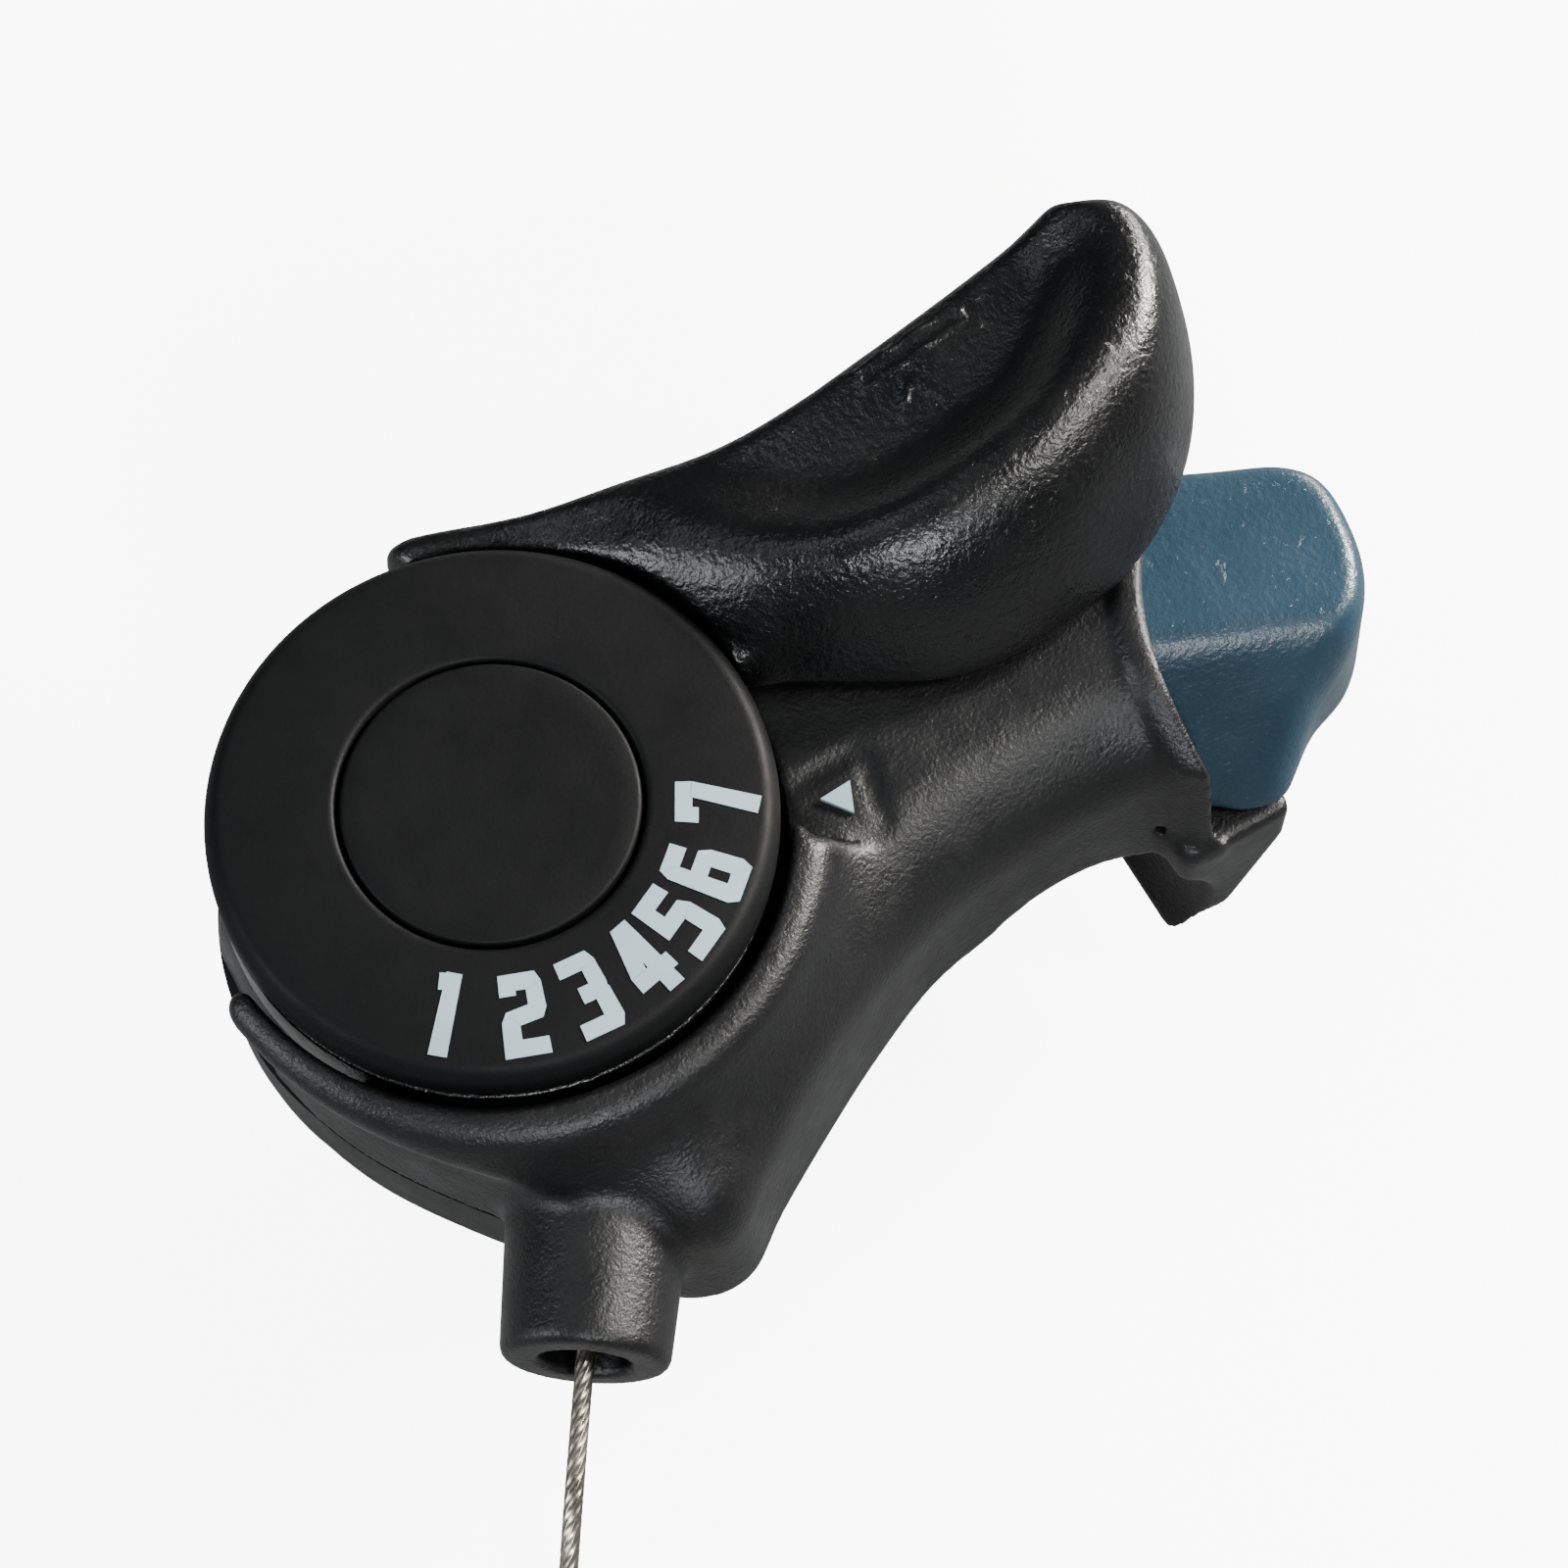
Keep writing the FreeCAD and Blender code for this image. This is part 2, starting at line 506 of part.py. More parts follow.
def cable_in_housing():
    """From the nipple round the drum's groove, then straight to the mouth of the boss."""
    end = CABLE_DEG + 90
    start = NIPPLE_DEG - 16
    arc = Part.Arc(polar(GROOVE_R, start, CABLE_Z), polar(GROOVE_R, (start + end) / 2, CABLE_Z),
                   polar(GROOVE_R, end, CABLE_Z)).toShape()
    run = Part.LineSegment(along_cable(0), along_cable(EXIT_AT)).toShape()
    path = Part.Wire([arc, run])
    round_line = Part.makeCircle(CABLE_R - 0.02, polar(GROOVE_R, start, CABLE_Z), polar(1, start + 90))
    section = Part.Wire([round_line])
    return path.makePipeShell([section], True, True)


# The free run's corners: how far along the cable's line, how far to its left, and the height.
LEAD = [(EXIT_AT, 0.0, CABLE_Z), (32.5, 0.0, CABLE_Z), (41.4, 0.0, 6.8), (45.8, -0.2, 0.8),
        (47.6, -0.5, -7.2),
        (49.9, -0.9, -14.2), (53.5, -1.3, -18.7), (57.7, -1.4, -19.55)]
COIL_R, COIL_HALF, COIL_HIGH = 11.6, 3.9, 7.8
COIL_ALONG, COIL_SIDE = 65.5, 12.6


def cable_lead():
    """The tube of the free run: straight stretches joined by the largest tangent arcs."""
    points = [along_cable(*p) for p in LEAD]
    edges, at = [], points[0]
    for a, b, c in zip(points, points[1:], points[2:]):
        into, out = (b - a), (c - b)
        short = min(into.Length, out.Length)
        into, out = into.normalize(), out.normalize()
        turn = math.acos(max(-1.0, min(1.0, into.dot(out))))
        back = 0.45 * short
        start, end = b - into * back, b + out * back
        radius = back / math.tan(turn / 2)
        print("lead radius %.1f mm" % radius)
        inward = (out - into).normalize()
        middle = b + inward * (radius / math.cos(turn / 2) - radius)
        edges += [Part.LineSegment(at, start).toShape(), Part.Arc(start, middle, end).toShape()]
        at = end
    edges.append(Part.LineSegment(at, points[-1]).toShape())
    path = Part.Wire(edges)
    section = Part.Wire([Part.makeCircle(CABLE_R, points[0], points[1] - points[0])])
    tube = path.makePipeShell([section], True, True)
    print("lead %.1f mm long, volume %.2f against %.2f" % (
        path.Length, tube.Volume, path.Length * math.pi * CABLE_R ** 2))
    return tube


def coil_centre():
    return along_cable(COIL_ALONG, COIL_SIDE, FLOOR_Z)


def cable_coil():
    c = coil_centre()
    return ring(COIL_R + COIL_HALF, COIL_R - COIL_HALF, FLOOR_Z, FLOOR_Z + COIL_HIGH, c.x, c.y)


def cable_end_cap():
    """The crimped cap on the cable's far end, lying on the coil."""
    c = coil_centre()
    return Part.makeCylinder(1.0, 9.0, V(c.x - 4.5, c.y - COIL_R, FLOOR_Z + COIL_HIGH + 1.05), V(1, 0, 0))


PIECES = {f.__name__: f for f in (
    upper_housing, base_cover, cover_screws, pivot_post, pivot_screw, thrust_washer, wave_washer,
    click_spring, spring_post, balance_spring, button_spring, clamp_band, clamp_bolt, clamp_nut,
    bushing, cable_drum, cable_nipple, index_plate, lever, dial_plate, dial_cap,
    release_button, push_rod, cable_in_housing, cable_lead, cable_coil, cable_end_cap)}


def main():
    os.makedirs("parts", exist_ok=True)
    for name, make in PIECES.items():
        shape = make()
        shape.translate(V(-BAR_X, -BAR_Y, -BAR_Z))
        shape.exportStep("parts/%s.step" % name)
        box = shape.BoundBox
        print("%-18s valid %s solids %d volume %.1f box %.1f..%.1f %.1f..%.1f %.1f..%.1f" % (
            name, shape.isValid(), len(shape.Solids), shape.Volume,
            box.XMin, box.XMax, box.YMin, box.YMax, box.ZMin, box.ZMax))


main()
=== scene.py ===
"""Looks of the bicycle thumb shifter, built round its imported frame. Everything is in metres, in the
frame's own axes: the origin is in the middle of the handlebar bore, +Z is up along the lever's pivot.

Shapes are laid out about the pivot in millimetres, as the design is, and mm() brings them here. The
mouldings are distance fields on a grid, blended where the real ones have fillets, then turned to meshes.
"""

import json
import math

import bmesh
import bpy
import numpy as np
import openvdb
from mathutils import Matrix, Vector


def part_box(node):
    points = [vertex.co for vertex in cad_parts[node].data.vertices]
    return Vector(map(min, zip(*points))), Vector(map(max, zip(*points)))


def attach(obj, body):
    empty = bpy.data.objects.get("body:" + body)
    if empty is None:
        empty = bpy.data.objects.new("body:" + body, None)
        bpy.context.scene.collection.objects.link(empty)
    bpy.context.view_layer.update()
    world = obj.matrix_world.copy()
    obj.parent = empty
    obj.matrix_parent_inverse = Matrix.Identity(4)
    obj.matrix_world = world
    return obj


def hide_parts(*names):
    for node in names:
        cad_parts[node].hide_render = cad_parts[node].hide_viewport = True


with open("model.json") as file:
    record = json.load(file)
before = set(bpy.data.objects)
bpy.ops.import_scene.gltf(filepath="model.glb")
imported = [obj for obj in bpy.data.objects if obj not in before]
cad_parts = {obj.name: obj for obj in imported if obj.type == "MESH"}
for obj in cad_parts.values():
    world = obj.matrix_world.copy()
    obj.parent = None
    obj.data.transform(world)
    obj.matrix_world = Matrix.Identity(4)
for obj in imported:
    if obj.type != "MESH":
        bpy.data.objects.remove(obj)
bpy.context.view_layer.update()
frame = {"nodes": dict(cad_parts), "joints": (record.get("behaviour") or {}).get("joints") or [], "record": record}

SWING = next(j for j in frame["joints"] if j["name"] == "lever_swing")
PIVOT = Vector(SWING["pos_m"])          # on the pivot axis, at the base cover's underside
HOUSING, LEVER, BUTTON = "housing_body", "lever_body", "button_body"
FLOOR_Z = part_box("cable_coil")[0][2]    # the coil lies on the floor

# Sizes in millimetres about the pivot, as in the design.
BAR_X, BAR_Z, BAR_R = 32.0, -7.6, 11.1
CAVITY_R, COLLAR_R, HUB_R = 16.3, 18.1, 17.4
DIAL_R, DIAL_RIM_Z, DIAL_TOP_Z, CAP_R = 17.5, 20.0, 23.6, 9.15
CABLE_Z, CABLE_DEG, GROOVE_R, CABLE_R = 8.3, -124.0, 7.7, 0.6
BOSS_R, BOSS_END, BORE_R, BORE_DEPTH = 5.45, 31.0, 2.85, 6.5

# How brightly the floor shines for the camera, and for reflections.
FLOOR_GLOW, REFLECTED_GLOW = 7.0, 0.35
STAGE_HALF = 3.0                        # metres


def mm(x, y, z):
    """A point in millimetres about the pivot, as a vector in the frame."""
    return PIVOT + Vector((x, y, z)) / 1000


def polar(radius, degrees, z):
    a = math.radians(degrees)
    return radius * math.cos(a), radius * math.sin(a), z


def along_cable(distance, side=0.0, z=CABLE_Z):
    """A point on the line of the cable's straight run, from its tangent point on the drum."""
    x, y, _ = polar(GROOVE_R, CABLE_DEG + 90, 0)
    wx, wy, _ = polar(1, CABLE_DEG, 0)
    return x + wx * distance - wy * side, y + wy * distance + wx * side, z


# ---------------------------------------------------------------- camera, light and floor

def look_from(obj, place, target):
    obj.location = place
    obj.rotation_euler = (place - target).to_track_quat("Z", "Y").to_euler()


def make_camera():
    """The view from above and a little to the left, on a long lens."""
    azimuth, elevation, distance = math.radians(-30), math.radians(67.66), 0.280
    target = mm(18.70, -3.02, 10.0)
    back = Vector((math.sin(azimuth) * math.cos(elevation), -math.cos(azimuth) * math.cos(elevation),
                   math.sin(elevation)))
    data = bpy.data.cameras.new("camera")
    data.sensor_width, data.lens, data.clip_start = 36, 100.8, 0.01
    camera = bpy.data.objects.new("camera", data)
    bpy.context.collection.objects.link(camera)
    look_from(camera, target + back * distance, target)
    bpy.context.scene.camera = camera


def area_light(name, azimuth, elevation, distance, size, power, colour):
    """A soft light aimed at the part; its bearing and height are in degrees, its size in metres."""
    a, e = math.radians(azimuth), math.radians(elevation)
    data = bpy.data.lights.new(name, "AREA")
    data.shape, data.size = "SQUARE", size
    data.energy, data.color = power, colour
    light = bpy.data.objects.new(name, data)
    bpy.context.collection.objects.link(light)
    target = mm(20, 0, 10)
    place = target + distance * Vector((math.cos(a) * math.cos(e), math.sin(a) * math.cos(e), math.sin(e)))
    look_from(light, place, target)


def stage_plane(name, height, glow):
    """A large level plane, lit from within as strongly as glow says."""
    mesh = bpy.data.meshes.new(name)
    half = STAGE_HALF
    corners = [(-half, -half, height), (half, -half, height), (half, half, height), (-half, half, height)]
    mesh.from_pydata(corners, [], [(0, 1, 2, 3)])
    plane = bpy.data.objects.new(name, mesh)
    bpy.context.collection.objects.link(plane)
    material, _, bsdf = shader(name)
    bsdf.inputs["Base Color"].default_value = (0.93, 0.93, 0.93, 1)
    bsdf.inputs["Roughness"].default_value = 0.9
    bsdf.inputs["Emission Color"].default_value = (1, 1, 1, 1)
    bsdf.inputs["Emission Strength"].default_value = glow
    plane.data.materials.append(material)
    plane.visible_diffuse = False
    return plane


def make_stage():
    """A white floor, a dimmer one under it that only reflections see, and soft lights."""
    stage_plane("floor", FLOOR_Z, FLOOR_GLOW).visible_glossy = False
    stage_plane("floor_reflected", FLOOR_Z - 0.001, REFLECTED_GLOW).visible_camera = False
    world = bpy.data.worlds.new("world")
    bpy.context.scene.world = world
    world.use_nodes = True
    background = world.node_tree.nodes["Background"]
    background.inputs["Color"].default_value = (0.80, 0.85, 0.90, 1)
    background.inputs["Strength"].default_value = 0.10
    area_light("window", 2, 24, 0.60, 0.13, 13.0, (1.0, 0.97, 0.92))
    area_light("key", -36, 50, 0.70, 0.12, 3.0, (1.0, 0.98, 0.94))
    area_light("corner", -108, 42, 0.80, 0.12, 4.4, (0.95, 0.97, 1.0))
    area_light("ceiling", 125, 66, 1.0, 0.30, 1.0, (0.92, 0.96, 1.0))
    area_light("low", 28, 9, 0.60, 0.16, 3.0, (1.0, 0.98, 0.95))
    area_light("back", 175, 30, 0.80, 0.30, 4.0, (0.95, 0.97, 1.0))


# ---------------------------------------------------------------- materials

def shader(name):
    material = bpy.data.materials.new(name)
    material.use_nodes = True
    return material, material.node_tree, material.node_tree.nodes["Principled BSDF"]


def noise(tree, scale, detail=4.0, rough=0.55, distort=0.0):
    coordinates = tree.nodes.new("ShaderNodeTexCoord")
    texture = tree.nodes.new("ShaderNodeTexNoise")
    tree.links.new(coordinates.outputs["Object"], texture.inputs["Vector"])
    for key, value in (("Scale", scale), ("Detail", detail), ("Roughness", rough), ("Distortion", distort)):
        texture.inputs[key].default_value = value
    return texture.outputs["Fac"]


def ramp(tree, source, stops):
    """A colour ramp over (position, grey or colour) stops."""
    node = tree.nodes.new("ShaderNodeValToRGB")
    elements = node.color_ramp.elements
    while len(elements) < len(stops):
        elements.new(0.5)
    for element, (position, value) in zip(elements, stops):
        element.position = position
        element.color = (*value, 1) if isinstance(value, tuple) else (value, value, value, 1)
    tree.links.new(source, node.inputs["Fac"])
    return node.outputs["Color"]


def bump(tree, bsdf, sources):
    """Bumps stacked in order, from (height, strength, distance in metres) entries."""
    last = None
    for source, strength, distance in sources:
        node = tree.nodes.new("ShaderNodeBump")
        node.inputs["Strength"].default_value = strength
        node.inputs["Distance"].default_value = distance
        tree.links.new(source, node.inputs["Height"])
        if last:
            tree.links.new(last, node.inputs["Normal"])
        last = node.outputs["Normal"]
    tree.links.new(last, bsdf.inputs["Normal"])


def moulded(name, colour, lighter, roughness, grain=2600, depth=0.3, wear=0.0, shine=0.3):
    """Moulded plastic: a fine grain, slow mottling, and rub marks where wear is above 0."""
    material, tree, bsdf = shader(name)
    bsdf.inputs["Specular IOR Level"].default_value = shine
    tree.links.new(ramp(tree, noise(tree, 90, 3), [(0.35, colour), (0.75, lighter)]),
                   bsdf.inputs["Base Color"])
    low, high = roughness
    patches = noise(tree, 260, 5, 0.65)
    tree.links.new(ramp(tree, patches, [(0.3, low), (0.7, high)]), bsdf.inputs["Roughness"])
    layers = [(noise(tree, grain, 3, 0.6), 1.0, 0.00004 * depth),
              (noise(tree, grain / 6, 2), 1.0, 0.00003 * depth)]
    if wear:
        rubs = ramp(tree, noise(tree, 700, 8, 0.75, 1.5), [(0.62, 0.0), (0.72, 1.0)])
        layers.append((rubs, wear, 0.00005))
    bump(tree, bsdf, layers)
    return material


def metal(name, colour, roughness, grain=1500):
    """Bare metal, a little darker and duller in patches."""
    material, tree, bsdf = shader(name)
    bsdf.inputs["Metallic"].default_value = 1.0
    dark = tuple(0.7 * c for c in colour)
    tree.links.new(ramp(tree, noise(tree, 300, 4), [(0.3, dark), (0.7, colour)]), bsdf.inputs["Base Color"])
    tree.links.new(ramp(tree, noise(tree, 500, 5), [(0.3, roughness * 0.7), (0.75, roughness * 1.3)]),
                   bsdf.inputs["Roughness"])
    bump(tree, bsdf, [(noise(tree, grain, 3), 0.15, 0.00002)])
    return material


def make_materials():
    return {
        "housing_plastic": moulded("housing_plastic", (0.0022, 0.0023, 0.0026), (0.0034, 0.0036, 0.0040),
                                   (0.34, 0.48), grain=3400, depth=1.9, shine=0.42),
        "base_plastic": moulded("base_plastic", (0.0020, 0.0021, 0.0023), (0.0032, 0.0033, 0.0036),
                                (0.42, 0.52), depth=0.5, shine=0.25),
        "lever_plastic": moulded("lever_plastic", (0.0012, 0.0013, 0.0015), (0.0022, 0.0023, 0.0026),
                                 (0.22, 0.34), grain=2200, depth=2.4, wear=0.4, shine=0.50),
        "dial_plastic": moulded("dial_plastic", (0.0018, 0.0020, 0.0023), (0.0026, 0.0028, 0.0031),
                                (0.50, 0.62), grain=4000, depth=0.5, shine=0.15),
        "button_blue": moulded("button_blue", (0.0135, 0.0335, 0.051), (0.0175, 0.041, 0.061), (0.26, 0.38),
                               grain=2400, depth=1.5, wear=0.4, shine=0.42),
        "print_grey": moulded("print_grey", (0.27, 0.36, 0.40), (0.36, 0.46, 0.50), (0.5, 0.6), grain=5000,
                              depth=0.2),
        "drum_plastic": moulded("drum_plastic", (0.55, 0.55, 0.50), (0.62, 0.62, 0.58), (0.35, 0.45)),
        "steel": metal("steel", (0.60, 0.60, 0.58), 0.32),
        "dark_steel": metal("dark_steel", (0.10, 0.10, 0.105), 0.40),
        "spring_steel": metal("spring_steel", (0.45, 0.45, 0.46), 0.28),
        "cable_steel": metal("cable_steel", (0.46, 0.42, 0.35), 0.30),
        "bronze": metal("bronze", (0.50, 0.34, 0.18), 0.42),
        "cap_aluminium": metal("cap_aluminium", (0.75, 0.75, 0.77), 0.30),
    }


def paint_nodes(materials):
    """Every CAD node takes the material of its slot."""
    slots = {s["node"]: s["material_slot"] for s in frame["record"]["subparts"]}
    for name, obj in frame["nodes"].items():
        obj.data.materials.clear()
        obj.data.materials.append(materials[slots[name]])


# ---------------------------------------------------------------- mesh helpers

def add_piece(name, vertices, faces, material, body, replaces=()):
    """A smooth-shaded mesh piece that rides on a body and takes its finish from a slot."""
    mesh = bpy.data.meshes.new(name)
    mesh.from_pydata(vertices, [], faces)
    mesh.update()
    mesh.shade_smooth()
    mesh.materials.append(material)
    obj = bpy.data.objects.new(name, mesh)
    bpy.context.collection.objects.link(obj)
    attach(obj, body)
    for node in replaces:
        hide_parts(node)
    return obj


def recalculated(obj):
    """The object's mesh with doubled corners merged and its faces turned outwards."""
    build = bmesh.new()
    build.from_mesh(obj.data)
    bmesh.ops.remove_doubles(build, verts=build.verts, dist=1e-6)
    bmesh.ops.recalc_face_normals(build, faces=build.faces)
    build.to_mesh(obj.data)
    build.free()
    return obj


def lathe(profile, steps=192):
    """Corners and faces of a surface turned about the pivot from (radius, z) points in millimetres."""
    vertices = [mm(*polar(r, 360 * i / steps, z)) for i in range(steps) for r, z in profile]
    n = len(profile)
    faces = []
    for i in range(steps):
        a, b = i * n, (i + 1) % steps * n
        faces += [(a + k, b + k, b + k + 1, a + k + 1) for k in range(n - 1)]
    return [tuple(v) for v in vertices], faces


def rounded_profile(points, radius, steps=4):
    """The outline with each inner corner turned into a small arc."""
    out = [points[0]]
    for a, b, c in zip(points, points[1:], points[2:]):
        a, b, c = Vector(a), Vector(b), Vector(c)
        reach = min(radius, (a - b).length * 0.45, (c - b).length * 0.45)
        start, end = b + (a - b).normalized() * reach, b + (c - b).normalized() * reach
        for i in range(steps + 1):
            t = i / steps
            out.append(tuple((1 - t) ** 2 * start + 2 * t * (1 - t) * b + t ** 2 * end))
    return out + [points[-1]]


# ---------------------------------------------------------------- distance fields

def curve_through(points, closed=False, steps=8):
    """A smooth curve through the points, as an array of closely spaced ones."""
    p = np.array(points, float)
    if closed:
        p = np.vstack([p[-1], p, p[0], p[1]])
    else:
        p = np.vstack([2 * p[0] - p[1], p, 2 * p[-1] - p[-2]])
    t = np.linspace(0, 1, steps, endpoint=False)[:, None]
    parts = [0.5 * (2 * b + (c - a) * t + (2 * a - 5 * b + 4 * c - d) * t ** 2
                    + (3 * b - a - 3 * c + d) * t ** 3)
             for a, b, c, d in zip(p, p[1:], p[2:], p[3:])]
    if not closed:
        parts.append(p[-2:-1])
    return np.vstack(parts)


def blend_min(a, b, k):
    h = np.clip(0.5 + 0.5 * (b - a) / k, 0, 1)
    return b + (a - b) * h - k * h * (1 - h)


def blend_max(a, b, k):
    return -blend_min(-a, -b, k)


def blurred(plan, rounds):
    """A field over the plan, softened."""
    plan = plan[:, :, 0].copy()
    for _ in range(rounds):
        plan[1:-1] = 0.25 * (plan[:-2] + 2 * plan[1:-1] + plan[2:])
        plan[:, 1:-1] = 0.25 * (plan[:, :-2] + 2 * plan[:, 1:-1] + plan[:, 2:])
    return plan[:, :, None]


def smooth_step(x):
    x = np.clip(x, 0, 1)
    return x * x * (3 - 2 * x)


class Grid:
    """A box of space in millimetres about the pivot, with the distance fields that the mouldings need."""

    def __init__(self, low, high, pitch):
        self.low, self.pitch = low, pitch
        axes = [np.arange(a, b, pitch, dtype=np.float32) for a, b in zip(low, high)]
        self.x, self.y, self.z = axes[0][:, None, None], axes[1][None, :, None], axes[2][None, None, :]
        self.plan = axes[0][:, None] + 0 * axes[1][None, :], 0 * axes[0][:, None] + axes[1][None, :]

    def outline(self, points):
        """How far each place in plan is outside the closed outline; negative inside."""
        px, py = self.plan
        nearest = np.full(px.shape, 1e9, np.float32)
        inside = np.zeros(px.shape, bool)
        for (x0, y0), (x1, y1) in zip(points, np.roll(points, -1, axis=0)):
            ex, ey = x1 - x0, y1 - y0
            t = np.clip(((px - x0) * ex + (py - y0) * ey) / (ex * ex + ey * ey + 1e-12), 0, 1)
            nearest = np.minimum(nearest, (px - x0 - t * ex) ** 2 + (py - y0 - t * ey) ** 2)
            if y0 != y1:
                inside ^= ((y0 > py) != (y1 > py)) & (px < (x1 - x0) * (py - y0) / (y1 - y0) + x0)
        return np.where(inside, -1, 1)[:, :, None] * np.sqrt(nearest)[:, :, None]

    def post(self, radius, x=0.0, y=0.0):
        return np.hypot(self.x - x, self.y - y) - radius

    def slab(self, low, high):
        return np.maximum(low - self.z, self.z - high)

    def bar(self, radius):
        return np.hypot(self.x - BAR_X, self.z - BAR_Z) - radius

    def cable_rod(self, radius, start, end, taper=0.0):
        """A rod along the cable's straight run."""
        x, y, _ = along_cable(0)
        wx, wy, _ = polar(1, CABLE_DEG, 0)
        along = (self.x - x) * wx + (self.y - y) * wy
        side = (self.x - x) * -wy + (self.y - y) * wx
        round_wall = np.hypot(side, self.z - CABLE_Z) - radius - taper * (end - along)
        return blend_max(round_wall, np.maximum(start - along, along - end), 0.8)

    def box(self, low, high):
        plan = np.maximum(np.maximum(low[0] - self.x, self.x - high[0]),
                          np.maximum(low[1] - self.y, self.y - high[1]))
        return np.maximum(plan, self.slab(low[2], high[2]))

    def skin(self, field):
        """Corners and faces of the field's zero surface."""
        reach = 3 * self.pitch
        volume = openvdb.FloatGrid(reach)
        volume.copyFromArray(np.clip(np.broadcast_to(field, (self.x.size, self.y.size, self.z.size)),
                                     -reach, reach).astype(np.float32))
        volume.gridClass = openvdb.GridClass.LEVEL_SET
        points, quads = volume.convertToQuads(0.0)
        points = (points * self.pitch + np.array(self.low)) / 1000 + np.array(PIVOT)
        return [tuple(map(float, p)) for p in points], [tuple(map(int, q))[::-1] for q in quads]


# ---------------------------------------------------------------- housing

# The housing's outline in plan: its curved near side, then the rest, mostly under the lever.
PLAN = [(-18.6, -3.2), (-17.6, -7.2), (-15.9, -11.2), (-13.2, -15.4), (-9.6, -20.0), (-5.4, -24.6),
        (-1.6, -27.9), (1.9, -28.2), (5.6, -25.7), (10.3, -22.9), (16.0, -19.8), (22.0, -17.2),
        (28.0, -16.2), (34.0, -16.0), (38.6, -16.5), (42.0, -18.4), (46.0, -19.6)]
REST_OF_PLAN = [(52.0, -19.8), (52.0, 5.5), (40.0, 5.5), (26.0, 6.6), (18.0, 8.4), (13.6, 13.3),
                (8.0, 17.3), (0.0, 19.0), (-8.0, 17.3), (-14.0, 12.9), (-17.9, 6.4)]
END_X, END_Y, END_R = 57.9, -13.5, 16.8  # the scooped end of the neck
FACE_SLOPE, WALL_DRAFT = 0.80, 0.10
TAB_Z = 16.85                           # flat under the printed pointer
BLUE_TOP_Z = 15.4
# The blue pad's outline in plan.
BLUE = [(40.0, 3.4), (47.5, 3.0), (53.4, 0.7), (57.2, -1.2), (58.9, -3.8), (58.6, -8.0), (57.2, -11.4),
        (54.6, -14.0), (51.2, -15.4), (48.9, -17.0), (46.9, -18.5), (44.6, -18.3), (43.0, -16.4),
        (40.0, -14.0)]


def blue_top(g, lift=0.0, pushed=0.0):
    """The height of the button's flat top, and of the face that falls from its ridge to the tip."""
    past_ridge = -0.37 * (g.x + pushed) - 0.93 * g.y + 8.0
    return blend_min(BLUE_TOP_Z + 0 * g.x + 0 * g.y, BLUE_TOP_Z - 1.3 * past_ridge, 1.8) + lift


